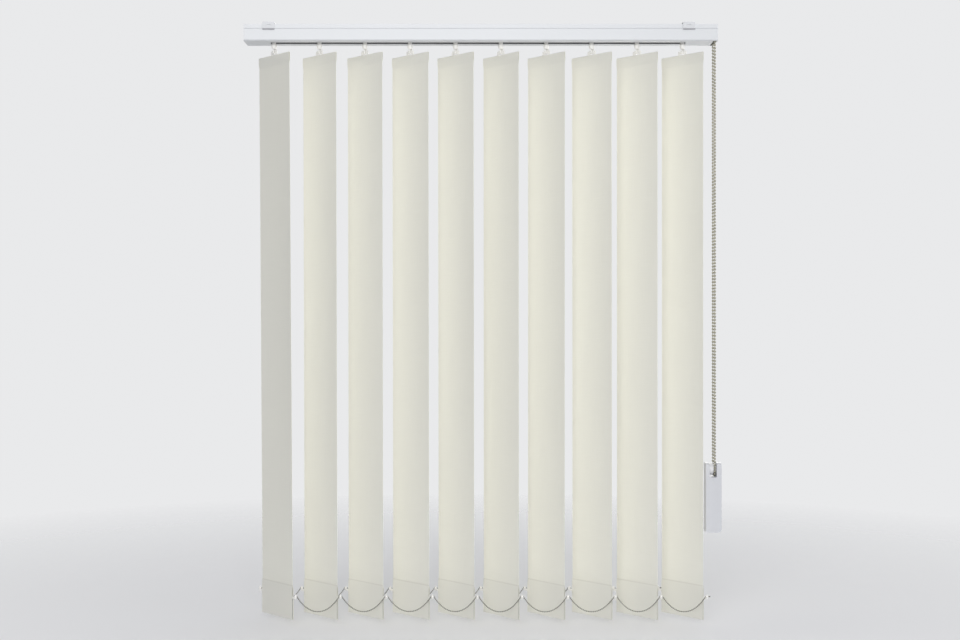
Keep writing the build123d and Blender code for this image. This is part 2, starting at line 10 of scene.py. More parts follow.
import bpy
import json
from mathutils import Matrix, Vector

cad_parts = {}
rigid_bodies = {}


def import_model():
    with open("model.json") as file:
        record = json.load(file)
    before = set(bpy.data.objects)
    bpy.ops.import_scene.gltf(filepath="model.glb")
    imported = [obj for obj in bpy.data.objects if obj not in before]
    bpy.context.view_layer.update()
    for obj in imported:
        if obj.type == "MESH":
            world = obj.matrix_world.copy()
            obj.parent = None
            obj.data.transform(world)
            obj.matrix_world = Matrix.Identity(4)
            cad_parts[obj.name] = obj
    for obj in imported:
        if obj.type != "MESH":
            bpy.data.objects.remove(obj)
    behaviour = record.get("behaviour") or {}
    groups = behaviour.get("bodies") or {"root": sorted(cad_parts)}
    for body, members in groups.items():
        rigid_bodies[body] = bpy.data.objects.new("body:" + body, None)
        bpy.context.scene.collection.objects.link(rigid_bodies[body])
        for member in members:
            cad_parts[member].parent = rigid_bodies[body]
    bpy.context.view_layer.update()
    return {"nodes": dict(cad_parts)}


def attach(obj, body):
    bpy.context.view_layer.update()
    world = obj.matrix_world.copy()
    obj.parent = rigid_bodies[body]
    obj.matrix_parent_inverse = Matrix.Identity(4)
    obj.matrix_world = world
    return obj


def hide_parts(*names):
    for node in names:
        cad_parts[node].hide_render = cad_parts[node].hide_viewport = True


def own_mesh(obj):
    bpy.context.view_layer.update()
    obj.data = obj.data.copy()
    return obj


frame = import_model()

# %% Other imports
import json
from math import cos, pi, radians, sin

import bpy
import numpy as np

# %% [markdown]
# ## Places on the blind
#
# Everything is in metres, in the model's own frame: X along the rail, Y away from the
# room, Z up, and zero between the two screw holes on the ceiling. A louvre is easiest
# to draw flat, with its width along u and its thickness along n. One function then
# turns it to its own angle, leans it and sets it below its carrier, so cloth, hanger,
# bottom weight and chain pins all move together.

# %% Louvre places and small differences
louvre_count = 10
louvre_pitch = 0.076
louvre_x = -0.343 + louvre_pitch * np.arange(louvre_count)
louvre_width = 0.089
rest_angle = 48.0

# degrees that each louvre has slipped on its hook, and how far its foot swings right
slip = np.array([0, 2, 2.5, 3, 0.7, -1.8, -1.2, 1, 1, 0])
lean = np.array([6.0, 2.4, 1.8, 1.5, 1.3, 0.5, -0.2, 0.8, 0.2, 0]) / 1000
bow = np.array([1.6, 1.2, -0.8, 1.0, 1.5, -0.9, 0.8, 1.1, -0.7, 1.2]) / 1000
hook_z, foot_z = -0.048, -0.991


def hung(points, i):
    """Louvre i's points (u, n, z) in the row frame: turned about the stem by the rest
    angle less its slip, then moved right by its lean times the depth below the hook."""
    u, n, z = np.moveaxis(np.asarray(points, float), -1, 0)
    turn = radians(rest_angle - slip[i])
    depth = (hook_z - z) / (hook_z - foot_z)
    x = louvre_x[i] + u * cos(turn) + n * sin(turn) + lean[i] * depth
    return np.stack([x, -u * sin(turn) + n * cos(turn), z], -1)


print("louvre angles:", rest_angle - slip)

# %% [markdown]
# ## The camera
#
# The photograph looks straight at the blind from a little above its middle, so the
# rail's underside shows and the louvres' feet are seen from above. A lens of 53.7 mm
# at 2.4 m gives the same perspective, and nothing is tilted, because the rail and the
# louvres' edges are parallel to the picture's edges.

# %% Camera
camera_data = bpy.data.cameras.new("camera")
camera_data.lens = 53.7
camera_data.sensor_width = 36
camera = bpy.data.objects.new("camera", camera_data)
camera.location = (0.002, -2.40, -0.495)
camera.rotation_euler = (radians(90), 0, 0)
bpy.context.scene.collection.objects.link(camera)
bpy.context.scene.camera = camera
print("camera at", tuple(camera.location))

# %% [markdown]
# ## Surfaces from arrays
#
# Most pieces here are grids: one direction goes round a section and the other goes
# along the piece. The points come as one array, and the faces are worked out from the
# grid's own numbering, so no loop ever visits a vertex. Where a grid closes on itself
# its last row joins its first, and where it ends it gets a cap, so that each piece is
# a closed shell with its faces outwards.


# %% Faces of a grid
def grid_quads(rows, columns, wrap_rows=False, wrap_columns=False):
    """Corner numbers of a grid's faces. Face (r, c) joins points (r, c), (r, c + 1),
    (r + 1, c + 1) and (r + 1, c), and a wrapped direction goes on to its start."""
    r = np.arange(rows if wrap_rows else rows - 1)[:, None]
    c = np.arange(columns if wrap_columns else columns - 1)[None, :]
    r2, c2 = (r + 1) % rows, (c + 1) % columns
    corners = [r * columns + c, r * columns + c2, r2 * columns + c2, r2 * columns + c]
    return np.stack(np.broadcast_arrays(*corners), -1).reshape(-1, 4)


def cap_fan(ring, centre):
    """Triangles from each edge of a closed ring of point numbers to a centre point."""
    after = np.roll(ring, -1)
    return np.stack([ring, after, np.full(len(ring), centre)], -1)


print("a 3 by 4 grid has", len(grid_quads(3, 4)), "faces")


# %% A piece from points and faces
def make_piece(name, points, faces, body, material, replaced=(), smooth=35):
    """A mesh object that rides on a body. Faces is a list of arrays of quads or
    triangles, and edges sharper than smooth degrees stay sharp."""
    corners = np.concatenate([f.reshape(-1) for f in faces]).astype(np.int32)
    sizes = np.concatenate([np.full(len(f), f.shape[1]) for f in faces])
    mesh = bpy.data.meshes.new(name)
    mesh.vertices.add(len(points))
    mesh.vertices.foreach_set("co", np.asarray(points, np.float32).reshape(-1))
    mesh.loops.add(len(corners))
    mesh.loops.foreach_set("vertex_index", corners)
    mesh.polygons.add(len(sizes))
    starts = np.concatenate([[0], np.cumsum(sizes)[:-1]]).astype(np.int32)
    mesh.polygons.foreach_set("loop_start", starts)
    mesh.update(calc_edges=True)
    mesh.validate()
    mesh.shade_smooth()
    mesh.set_sharp_from_angle(angle=radians(smooth))
    mesh.materials.append(material)
    piece = bpy.data.objects.new(name, mesh)
    bpy.context.scene.collection.objects.link(piece)
    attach(piece, body)
    if replaced:
        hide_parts(*replaced)
    return piece


def volume(piece):
    """Signed volume of a closed mesh: a sixth of the sum, over its triangles, of the
    triple product of the corners. It is above zero when faces point outwards."""
    mesh = piece.data
    mesh.calc_loop_triangles()
    place = np.empty(len(mesh.vertices) * 3)
    mesh.vertices.foreach_get("co", place)
    corner = np.empty(len(mesh.loop_triangles) * 3, np.int32)
    mesh.loop_triangles.foreach_get("vertices", corner)
    a, b, c = np.moveaxis(place.reshape(-1, 3)[corner.reshape(-1, 3)], 1, 0)
    return float((a * np.cross(b, c)).sum() / 6)


print("helpers for pieces are ready")

# %% [markdown]
# ## Nodes for the finishes
#
# A finish that is one flat colour looks like a drawing. Each one below starts from
# Blender's Principled shader and gets a pattern at the scale of the real thing: a
# fine grain in moulded plastic, an orange-peel ripple in a coated rail, a weave in
# the cloth. A small helper keeps the node code short. The patterns read Object
# coordinates or the piece's own UV map, so they stay put when the blind moves.


# %% Helpers for materials
def new_material(name, colour, roughness, **sockets):
    """A material with a Principled shader, its plain values set on its own sockets."""
    material = bpy.data.materials.new(name)
    material.use_nodes = True
    shader = material.node_tree.nodes["Principled BSDF"]
    shader.inputs["Base Color"].default_value = (*colour, 1)
    shader.inputs["Roughness"].default_value = roughness
    for socket, value in sockets.items():
        shader.inputs[socket.replace("_", " ")].default_value = value
    return material, material.node_tree, shader


def add_node(tree, kind, links=(), **values):
    """A node of one kind. Links are (socket, what feeds it), and values are its own
    settings."""
    node = tree.nodes.new(kind)
    for key, value in values.items():
        setattr(node, key, value)
    for socket, source in links:
        if isinstance(source, bpy.types.NodeSocket):
            tree.links.new(source, node.inputs[socket])
        else:
            node.inputs[socket].default_value = source
    return node


def maths(tree, operation, *values):
    """The result of a Math node on some values or sockets."""
    links = list(enumerate(values))
    return add_node(tree, "ShaderNodeMath", links, operation=operation).outputs[0]


def mix_colours(tree, factor, first, second):
    """Colour between first and second, by a factor from 0 to 1."""
    mix = tree.nodes.new("ShaderNodeMix")
    mix.data_type = "RGBA"
    tree.links.new(factor, mix.inputs[0])
    mix.inputs[6].default_value = (*first, 1)
    mix.inputs[7].default_value = (*second, 1)
    return mix.outputs[2]


print("helpers for materials are ready")


# %% [markdown]
# ## Plastic, coated metal and bare metal
#
# The rail is aluminium with a smooth white coat, and the caps and hooks are moulded in
# white. Close up, a coat ripples a little and a moulding has a fine grain, so both get
# a low bump from noise, and a very faint change of tone. Bare metal gets a stretched
# noise, like the marks of drawing or rolling. The rail's hollow is painted near black
# as shade, and the carriers in it are near black as painted shade too.


# %% Grained finish
def grained(
    name, colour, darker, roughness, grain, depth, stretch=(1, 1, 1), **sockets
):
    """A finish with a noise of a given grain per metre. The noise moves the colour
    between two tones, the roughness by a tenth and the surface by depth metres."""
    material, tree, shader = new_material(name, colour, roughness, **sockets)
    where = add_node(tree, "ShaderNodeTexCoord").outputs["Object"]
    placed = add_node(
        tree, "ShaderNodeMapping", [("Vector", where), ("Scale", stretch)]
    ).outputs[0]
    fine = add_node(
        tree,
        "ShaderNodeTexNoise",
        [("Vector", placed), ("Scale", grain), ("Detail", 3.0)],
    ).outputs[0]
    broad = add_node(
        tree,
        "ShaderNodeTexNoise",
        [("Vector", placed), ("Scale", grain / 12), ("Detail", 2.0)],
    ).outputs[0]
    tone = mix_colours(tree, broad, darker, colour)
    tree.links.new(tone, shader.inputs["Base Color"])
    rough = add_node(
        tree,
        "ShaderNodeMapRange",
        [("Value", broad), ("To Min", roughness * 0.9), ("To Max", roughness * 1.1)],
    ).outputs[0]
    tree.links.new(rough, shader.inputs["Roughness"])
    bump = add_node(
        tree,
        "ShaderNodeBump",
        [("Height", fine), ("Distance", depth), ("Strength", 0.5)],
    ).outputs[0]
    tree.links.new(bump, shader.inputs["Normal"])
    return material


print("grained() makes a finish with fine noise")

# %% Finishes of the hard pieces
rail_coat = grained(
    "rail_coat", (0.69, 0.705, 0.725), (0.665, 0.68, 0.70), 0.34, 900, 0.00002
)
bracket_coat = grained(
    "bracket_coat", (0.66, 0.67, 0.69), (0.63, 0.64, 0.66), 0.4, 900, 0.00002
)
cap_plastic = grained(
    "cap_plastic", (0.685, 0.70, 0.72), (0.66, 0.675, 0.695), 0.36, 1500, 0.00002
)
hook_plastic = grained(
    "hook_plastic", (0.92, 0.91, 0.88), (0.89, 0.88, 0.85), 0.38, 1500, 0.00003
)
pocket_plastic = grained(
    "pocket_plastic", (0.92, 0.91, 0.88), (0.89, 0.88, 0.85), 0.38, 1500, 0.00003
)
worm_plastic = grained(
    "worm_plastic", (0.74, 0.74, 0.73), (0.70, 0.70, 0.69), 0.5, 1500, 0.00003
)
# Painted shade: the carriers are near black because they sit in the rail's dark slot.
carrier_plastic = grained(
    "carrier_plastic", (0.045, 0.045, 0.045), (0.035, 0.035, 0.035), 0.5, 1500, 0.00003
)
spring_steel = grained(
    "spring_steel", (0.52, 0.54, 0.57), (0.44, 0.46, 0.49), 0.36, 1200, 0.00002,
    stretch=(0.06, 1, 1), Metallic=1.0,
)
rod_aluminium = grained(
    "rod_aluminium", (0.66, 0.67, 0.68), (0.60, 0.61, 0.62), 0.32, 1400, 0.00002,
    stretch=(0.03, 1, 1), Metallic=1.0,
)
weight_plastic = grained(
    "weight_plastic", (0.60, 0.61, 0.64), (0.58, 0.59, 0.62), 0.55, 1100, 0.00003
)
roller_plastic = grained(
    "roller_plastic", (0.72, 0.72, 0.73), (0.68, 0.68, 0.69), 0.5, 1500, 0.00003
)
bead_metal = grained(
    "bead_metal", (0.40, 0.385, 0.315), (0.31, 0.295, 0.235), 0.42, 1600, 0.00002,
    Metallic=1.0,
)
link_metal = grained(
    "link_metal", (0.27, 0.265, 0.23), (0.21, 0.205, 0.175), 0.42, 1600, 0.00002,
    Metallic=1.0,
)
print("finishes:", len(bpy.data.materials))


# %% Painted shade on one solid
def painted_inside(material, colour, *ranges):
    """Paints shade on a finish: another colour where every range holds. A range is the
    number of an axis, a middle and a reach: it holds where the coordinate is that near."""
    tree = material.node_tree
    base = tree.nodes["Principled BSDF"].inputs["Base Color"]
    coat = base.links[0].from_socket
    where = add_node(tree, "ShaderNodeTexCoord").outputs["Object"]
    parts = add_node(tree, "ShaderNodeSeparateXYZ", [("Vector", where)]).outputs
    inside = None
    for axis, middle, reach in ranges:
        near = maths(tree, "COMPARE", parts[axis], middle, reach)
        inside = near if inside is None else maths(tree, "MULTIPLY", near, inside)
    shade_tone = mix_colours(tree, inside, (0.8, 0.8, 0.8), colour)
    tree.links.new(coat, shade_tone.node.inputs[6])
    tree.links.new(shade_tone, base)


hollow_shade_y, hollow_shade_z = (1, 0.0, 0.0226), (2, -0.0219, 0.0084)
lip_shade_z, plate_shade_z = (2, -0.0130, 0.0018), (2, -0.9735, 0.0175)
# Painted shade: the inside of the rail is near black where its slot is dark.
painted_inside(rail_coat, (0.03, 0.03, 0.03), hollow_shade_y, hollow_shade_z)
# Painted shade: the brackets' lower lips are darker, for the shadow line under them.
painted_inside(bracket_coat, (0.33, 0.33, 0.35), lip_shade_z)
# Painted shade: the hidden lower plates are dark grey, to darken the louvres' feet.
painted_inside(pocket_plastic, (0.28, 0.28, 0.28), plate_shade_z)
print("hollow of the rail, lips of the brackets and plates in the pockets are darker")

# %% Finishes go on the solids that stay
finish_of = {
    "headrail": rail_coat,
    "control_end_cap": cap_plastic,
    "control_housing": cap_plastic,
    "far_end_cap": cap_plastic,
    "bracket_left": bracket_coat,
    "bracket_right": bracket_coat,
    "tilt_rod": rod_aluminium,
    "chain_sprocket": worm_plastic,
    "weight_body": weight_plastic,
    "weight_pin": spring_steel,
    "weight_roller": roller_plastic,
}
for i in range(1, louvre_count + 1):
    finish_of[f"carrier_{i:02d}"] = carrier_plastic
    finish_of[f"hook_{i:02d}"] = hook_plastic
for node, finish in finish_of.items():
    for material_slot in frame["nodes"][node].material_slots:
        material_slot.material = finish
print("solids with a finish:", len(finish_of))

# %% [markdown]
# ## The bead chain
#
# The control chain is a loop of hollow metal beads on short wires. It runs over the
# sprocket in the end cap and under the roller of the weight, and the weight pulls both
# strands straight. Its line is a smooth spline. Beads are then set along it at an even
# pitch, and a thin wire follows the same line. One small ball, copied by adding its
# points to every bead's place, gives all the beads at once.

# %% Route of the loop
chain_x, rod_y, rod_z = 0.3925, -0.009, -0.0175
loop_radius = 0.0100268
roller_z = -0.7536 + loop_radius
front_y, rear_y = rod_y - loop_radius, rod_y + loop_radius
high, low = rod_z + loop_radius, roller_z - loop_radius
straight = 2 * loop_radius
loop_route = [
    (chain_x, rod_y, high),
    (chain_x, front_y, high),
    (chain_x, front_y, high - straight),
    (chain_x, front_y, low + straight),
    (chain_x, front_y, low),
    (chain_x, rear_y, low),
    (chain_x, rear_y, low + straight),
    (chain_x, rear_y, high - straight),
    (chain_x, rear_y, high),
    (chain_x, rod_y, high),
]


def spline_line(name, route):
    """Points of a smooth NURBS line, of order 3, that has the route's points as its
    control points and starts and ends at its first and last."""
    curve = bpy.data.curves.new(name, "CURVE")
    curve.dimensions = "3D"
    spline = curve.splines.new("NURBS")
    spline.points.add(len(route) - 1)
    weights = np.ones((len(route), 1))
    spline.points.foreach_set("co", np.hstack([route, weights]).reshape(-1))
    spline.order_u = 3
    spline.use_endpoint_u = True
    curve.resolution_u = 48
    holder = bpy.data.objects.new(name, curve)
    mesh = bpy.data.meshes.new_from_object(holder)
    line = np.empty(len(mesh.vertices) * 3)
    mesh.vertices.foreach_get("co", line)
    bpy.data.objects.remove(holder)
    bpy.data.meshes.remove(mesh)
    return line.reshape(-1, 3)


loop_line = spline_line("loop_route", loop_route)
print("points on the loop's line:", len(loop_line))


# %% Even steps along a line
def along(line, count):
    """Points at count equal steps of length from the line's start to its end, and the
    unit directions there, both from the running length of its straight pieces."""
    steps = np.linalg.norm(np.diff(line, axis=0), axis=1)
    kept = np.concatenate([[True], steps > 1e-9])
    line = line[kept]
    run = np.concatenate([[0], np.cumsum(steps[steps > 1e-9])])
    wanted = np.linspace(0, run[-1], count + 1)
    even = np.stack([np.interp(wanted, run, line[:, k]) for k in range(3)], -1)
    ahead = np.gradient(even, axis=0)
    return even, ahead / np.linalg.norm(ahead, axis=1, keepdims=True), run[-1]


bead_pitch = 0.00525
loop_length = along(loop_line, 10)[2]
bead_count = round(loop_length / bead_pitch)
print("loop length", round(loop_length, 4), "beads", bead_count)


# %% Balls and wires
def ball(radius, around=8, rings=5):
    """A ball as a grid of latitudes and longitudes with one point at each pole: a
    point is radius times (cos lat cos lon, cos lat sin lon, sin lat)."""
    lat = np.linspace(-pi / 2, pi / 2, rings + 2)[1:-1, None]
    lon = np.linspace(0, 2 * pi, around, endpoint=False)[None, :]
    grid = np.stack(
        np.broadcast_arrays(np.cos(lat) * np.cos(lon), np.cos(lat) * np.sin(lon),
                            np.sin(lat)),
        -1,
    ).reshape(-1, 3)
    poles = np.array([[0, 0, -1], [0, 0, 1]])
    points = radius * np.vstack([grid, poles])
    foot, top = len(grid), len(grid) + 1
    first = np.arange(around)
    last = first + (rings - 1) * around
    triangles = np.vstack([cap_fan(first, foot)[:, ::-1], cap_fan(last, top)])
    return points, grid_quads(rings, around, wrap_columns=True), triangles


def tube(line, ahead, side, radius, around=6):
    """A wire round a line that lies in one plane. Side is the plane's normal, and the
    section's points are radius times (cos a side + sin a (side x ahead))."""
    side = np.broadcast_to(np.asarray(side, float), line.shape)
    up = np.cross(side, ahead)
    a = np.linspace(0, 2 * pi, around, endpoint=False)[None, :, None]
    ring = np.cos(a) * side[:, None] + np.sin(a) * up[:, None]
    return line[:, None] + radius * ring


def joined(parts):
    """One list of points and faces from several, each part's faces renumbered past
    the points before it."""
    points, faces, count = [], [], 0
    for part_points, part_faces in parts:
        points.append(part_points.reshape(-1, 3))
        faces += [f + count for f in part_faces]
        count += len(points[-1])
    return np.vstack(points), faces


def copies(points, faces, places):
    """Copies of a small shape: its points are added to every place, and its faces are
    renumbered for each copy."""
    many = (places[:, None] + points[None]).reshape(-1, 3)
    shift = (np.arange(len(places)) * len(points))[:, None, None]
    return many, [(f[None] + shift).reshape(-1, f.shape[1]) for f in faces]


print("one ball has", sum(map(len, ball(0.002)[1:])), "faces")

# %% The loop of beads
bead_places, _, loop_length = along(loop_line, bead_count)
bead_points, *bead_faces = ball(0.002)
wire_line, wire_ahead, _ = along(loop_line, bead_count * 2)
wire_rings = tube(wire_line[:-1], wire_ahead[:-1], (1, 0, 0), 0.0006)
wire_faces = [grid_quads(*wire_rings.shape[:2], wrap_rows=True, wrap_columns=True)]
beads = copies(bead_points, bead_faces, bead_places[:-1])
points, faces = joined([beads, (wire_rings, wire_faces)])
bead_chain = make_piece(
    "bead_chain", points, faces, "rail", bead_metal, ["control_chain"], 70
)
print("bead chain volume, mm3:", round(volume(bead_chain) * 1e9))

# %% [markdown]
# ## The cloth of a louvre
#
# A louvre is a strip of stiff, slightly see-through cloth. Its top is folded over a
# hanger and its foot is folded round a weight, and both folds are welded shut. Here
# the cloth really is one strip: its line starts behind the top pocket, goes over the
# hanger, down the whole louvre, round the weight and up to the seam in front. The
# line gets the cloth's thickness, and is then carried across the louvre's width. The
# cloth is held flat at both ends, so it may bow only between them.

# %% Line of the cloth
cloth, hem_gap, yarn_pitch = 0.0005, 0.00052, 0.0011
top_z, low_z, seam_z = -0.0510, -0.9910, -0.9355
top_leg, low_leg = 0.00110, 0.00130


def fold(n, z, radius, start, stop, count=9):
    """Points of an arc in the (n, z) plane about (n, z), from start to stop degrees."""
    a = np.radians(np.linspace(start, stop, count))
    return np.stack([n + radius * np.cos(a), z + radius * np.sin(a)], -1)


hem_back = [
    (0.0005, top_z - 0.0185), (0.0005, top_z - 0.0168), (top_leg, top_z - 0.013)
]
over_top = fold(0, top_z - top_leg - cloth / 2, top_leg, 0, 180)
down = [(-top_leg, top_z - 0.013), (-0.0002, top_z - 0.0165)]
long_run = np.stack([np.zeros(30), np.linspace(top_z - 0.019, seam_z + 0.0005, 30)], -1)
round_foot = fold(0, low_z + low_leg + cloth / 2, low_leg, 0, -180)
pocket_down = [(low_leg, seam_z - 0.004), (low_leg, -0.96)]
pocket_up = [
    (-low_leg, -0.96), (-low_leg, seam_z - 0.004), (-hem_gap, seam_z - 0.0002)
]
seam_edge = [(-hem_gap, seam_z + 0.0025)]
cloth_line = np.vstack(
    [hem_back, over_top, down, long_run, pocket_down, round_foot, pocket_up, seam_edge]
)
print("stations along the cloth:", len(cloth_line))


# %% Thickness and width
def strip_section(line, thickness):
    """A closed loop of points half a thickness to each side of a line, and how far
    along the line each is. The side of a point is across the mean direction there."""
    ahead = np.gradient(line, axis=0)
    ahead /= np.linalg.norm(ahead, axis=1, keepdims=True)
    across = np.stack([-ahead[:, 1], ahead[:, 0]], -1) * thickness / 2
    steps = np.linalg.norm(np.diff(line, axis=0), axis=1)
    run = np.concatenate([[0], np.cumsum(steps)])
    loop = np.vstack([line + across, (line - across)[::-1]])
    return loop, np.concatenate([run, run[::-1]])


def cloth_surface(i, columns=14):
    """Louvre i's cloth: its section carried across the width u, bowed out of flat by
    bow times (1 - (2u / width)^2) times the sine of the way down."""
    loop, run = strip_section(cloth_line, cloth)
    u = np.linspace(-louvre_width / 2, louvre_width / 2, columns)
    n = np.repeat(loop[:, :1], columns, axis=1)
    z = np.repeat(loop[:, 1:], columns, axis=1)
    way = np.clip((top_z - 0.02 - z) / 0.86, 0, 1)
    n = n + bow[i] * (1 - (2 * u / louvre_width) ** 2) * np.sin(pi * way)
    grid = np.stack([np.broadcast_to(u, n.shape), n, z], -1)
    return hung(grid, i), u, run


sample, _, sample_run = cloth_surface(0)
print("cloth grid:", sample.shape, "cut length", round(sample_run.max(), 3))


# %% [markdown]
# ## The look of the cloth
#
# The cloth is a plain cream weave with slightly uneven yarns, coated so that it stays
# stiff. Light from behind comes through it warm. A little of a Translucent shader
# beside the Principled one does that. The weave reads the UV map, which holds metres
# across and along the cloth, so its yarns follow every fold. Two noises stretched
# along the yarns give the faint streaks. The bottom pocket holds a plate that no light
# passes, so its colour is painted a little darker as shade, and a thin painted shadow
# lies along the welded hem's edge above it.


# %% Woven material
def woven(name, colour, darker, warm, through):
    """Cloth: yarns as the product of two sines, streaks as stretched noise, and a
    share of translucent light."""
    material, tree, shader = new_material(name, colour, 0.85)
    shader.inputs["Sheen Weight"].default_value = 0.15
    shader.inputs["Sheen Roughness"].default_value = 0.6
    place = add_node(tree, "ShaderNodeUVMap", uv_map="cloth").outputs[0]

    def noise(scale, size):
        """Noise whose UV is stretched by scale."""
        stretched = add_node(
            tree, "ShaderNodeMapping", [("Vector", place), ("Scale", scale)]
        ).outputs[0]
        return add_node(
            tree, "ShaderNodeTexNoise", [("Vector", stretched), ("Scale", size)]
        ).outputs[0]

    down_yarns = noise((1, 0.02, 1), 900)
    cross_yarns = noise((0.03, 1, 1), 900)
    streaks = maths(tree, "ADD", down_yarns, cross_yarns)
    half = add_node(
        tree,
        "ShaderNodeMapRange",
        [("Value", streaks), ("From Min", 0.7), ("From Max", 1.3)],
    ).outputs[0]
    tone = mix_colours(tree, half, darker, colour)
    tree.links.new(tone, shader.inputs["Base Color"])
    parts = add_node(tree, "ShaderNodeSeparateXYZ", [("Vector", place)]).outputs
    waves = []
    for part in (parts[0], parts[1]):
        scaled = maths(tree, "MULTIPLY", part, 2 * pi / yarn_pitch)
        waves.append(maths(tree, "SINE", scaled))
    height = maths(tree, "ADD", maths(tree, "MULTIPLY", *waves), streaks)
    bump = add_node(
        tree, "ShaderNodeBump",
        [("Height", height), ("Distance", 0.00008), ("Strength", 0.6)],
    ).outputs[0]
    tree.links.new(bump, shader.inputs["Normal"])
    behind = add_node(tree, "ShaderNodeBsdfTranslucent", [("Color", (*warm, 1))])
    mixed = add_node(
        tree,
        "ShaderNodeMixShader",
        [(0, through), (1, shader.outputs[0]), (2, behind.outputs[0])],
    )
    tree.links.new(mixed.outputs[0], tree.nodes["Material Output"].inputs["Surface"])
    return material


louvre_cloth = woven(
    "louvre_cloth", (0.90, 0.893, 0.83), (0.875, 0.868, 0.805), (0.90, 0.89, 0.78), 0.13
)
# Painted shade: a darker pocket, and a darker line for the shadow of the hem's edge.
painted_inside(louvre_cloth, (0.85, 0.843, 0.78), (2, (seam_z + low_z) / 2, 0.028))
painted_inside(louvre_cloth, (0.79, 0.78, 0.72), (2, seam_z + 0.0012, 0.001))
print("cloth material:", louvre_cloth.name)

# %% Ten cloth strips
cloths = []
for i in range(louvre_count):
    grid, across, run = cloth_surface(i)
    rows, columns = grid.shape[:2]
    skin = grid_quads(rows, columns, wrap_rows=True)
    station = np.arange(rows // 2 - 1)
    mirror = rows - 1 - station
    edge = np.stack([station, station + 1, mirror - 1, mirror], -1) * columns
    faces = [skin, edge[:, ::-1], edge + columns - 1]
    number = f"{i + 1:02d}"
    piece = make_piece(
        f"cloth_{number}", grid.reshape(-1, 3), faces, f"louvre_{number}",
        louvre_cloth, [f"louvre_{number}"], 40,
    )
    layer = piece.data.uv_layers.new(name="cloth")
    corner = np.empty(len(piece.data.loops), np.int32)
    piece.data.loops.foreach_get("vertex_index", corner)
    flat = np.stack([across[corner % columns], run[corner // columns]], -1)
    layer.data.foreach_set("uv", flat.astype(np.float32).reshape(-1))
    cloths.append(piece)
print("first cloth's volume, mm3:", round(volume(cloths[0]) * 1e9))

# %% [markdown]
# ## Hanger and bottom weight
#
# The hanger is a thin moulded plate that stiffens the top of the cloth. Its tab stands
# out of a notch and has an eye for the hook. A plate with one hole is a ring: a flat
# section carried round the eye, from the eye's edge out to the plate's edge. The
# bottom weight is a coated steel plate with a small arm at each side, and on each arm
# stands the pin that the chains clip to.


# %% Loops and slabs
def rounded_loop(half_a, half_b, corner, count=8):
    """A rectangle with rounded corners, counter-clockwise from its right side: each
    corner is a quarter circle about a point one corner radius inside."""
    a = np.linspace(0, pi / 2, count)
    quarter = corner * np.stack([np.cos(a), np.sin(a)], -1)
    back = quarter[::-1]
    turns = [quarter, back * (-1, 1), quarter * (-1, -1), back * (1, -1)]
    signs = [(1, 1), (-1, 1), (-1, -1), (1, -1)]
    middle = np.array([half_a - corner, half_b - corner])
    return np.vstack([turn + middle * sign for turn, sign in zip(turns, signs)])


def slab(loop, low, high, edge):
    """A flat plate from a loop in (u, z): its face loops are drawn in by edge, so the
    rim is softened, and both faces are closed to a middle point. N is its thickness."""
    middle = loop.mean(0)
    size = np.abs(loop - middle).max(0)
    inner = middle + (loop - middle) * (1 - edge / size)
    levels = [(inner, low), (loop, low + edge), (loop, high - edge), (inner, high)]
    rings = np.stack([np.insert(ring, 1, n, axis=1) for ring, n in levels])
    rows, columns = rings.shape[:2]
    centres = np.array([[middle[0], low, middle[1]], [middle[0], high, middle[1]]])
    first, last = np.arange(columns), np.arange(columns) + (rows - 1) * columns
    caps = np.vstack(
        [cap_fan(first, rows * columns), cap_fan(last, rows * columns + 1)[:, ::-1]]
    )
    points = np.vstack([rings.reshape(-1, 3), centres])
    return points, [grid_quads(rows, columns, wrap_columns=True)[:, ::-1], caps]


print("a rounded loop has", len(rounded_loop(1, 1, 0.2)), "points")


# %% Plate with an eye
def eyed_plate(outer, eye, low, high, edge):
    """A plate with a hole: a six-sided section goes from the outer loop to the eye's
    loop in front and back again behind, with both rims softened by edge."""
    step = (outer - eye) / np.linalg.norm(outer - eye, axis=1, keepdims=True) * edge
    section = [
        (eye + step, low), (outer - step, low), (outer, low + edge),
        (outer, high - edge), (outer - step, high), (eye + step, high),
        (eye, high - edge), (eye, low + edge),
    ]
    rings = np.stack([np.insert(ring, 1, n, axis=1) for ring, n in section])
    faces = grid_quads(*rings.shape[:2], wrap_rows=True, wrap_columns=True)
    return rings, [faces[:, ::-1]]


tab_centre = np.array([0, -0.05035])
eye_loop = rounded_loop(0.004, 0.00265, 0.0009) + tab_centre
tab_loop = rounded_loop(0.009, 0.00585, 0.0016) + tab_centre
tab = eyed_plate(tab_loop, eye_loop, -0.0007, 0.0007, 0.0002)
plate_loop = rounded_loop(0.035, 0.0042, 0.0015) + (0, -0.0598)
plate = slab(plate_loop, -0.0006, 0.0006, 0.0002)
hanger_points, hanger_faces = joined([tab, plate])
print("hanger points:", len(hanger_points))


# %% Bottom weight with its pins
def post(u, low, high, radius, around=14):
    """A round pin along z: rings of a circle at its foot, its shoulder and its top,
    the last drawn in, closed to a middle point at both ends."""
    a = np.linspace(0, 2 * pi, around, endpoint=False)
    circle = np.stack([np.cos(a), np.sin(a)], -1)
    levels = [(radius, low), (radius, high - 0.3 * radius), (0.7 * radius, high)]
    rings = np.stack(
        [np.hstack([circle * r + (u, 0), np.full((around, 1), z)]) for r, z in levels]
    )
    centres = np.array([[u, 0, low], [u, 0, high]])
    first, last = np.arange(around), np.arange(around) + 2 * around
    caps = np.vstack(
        [cap_fan(first, 3 * around)[:, ::-1], cap_fan(last, 3 * around + 1)]
    )
    points = np.vstack([rings.reshape(-1, 3), centres])
    return points, [grid_quads(3, around, wrap_columns=True), caps]


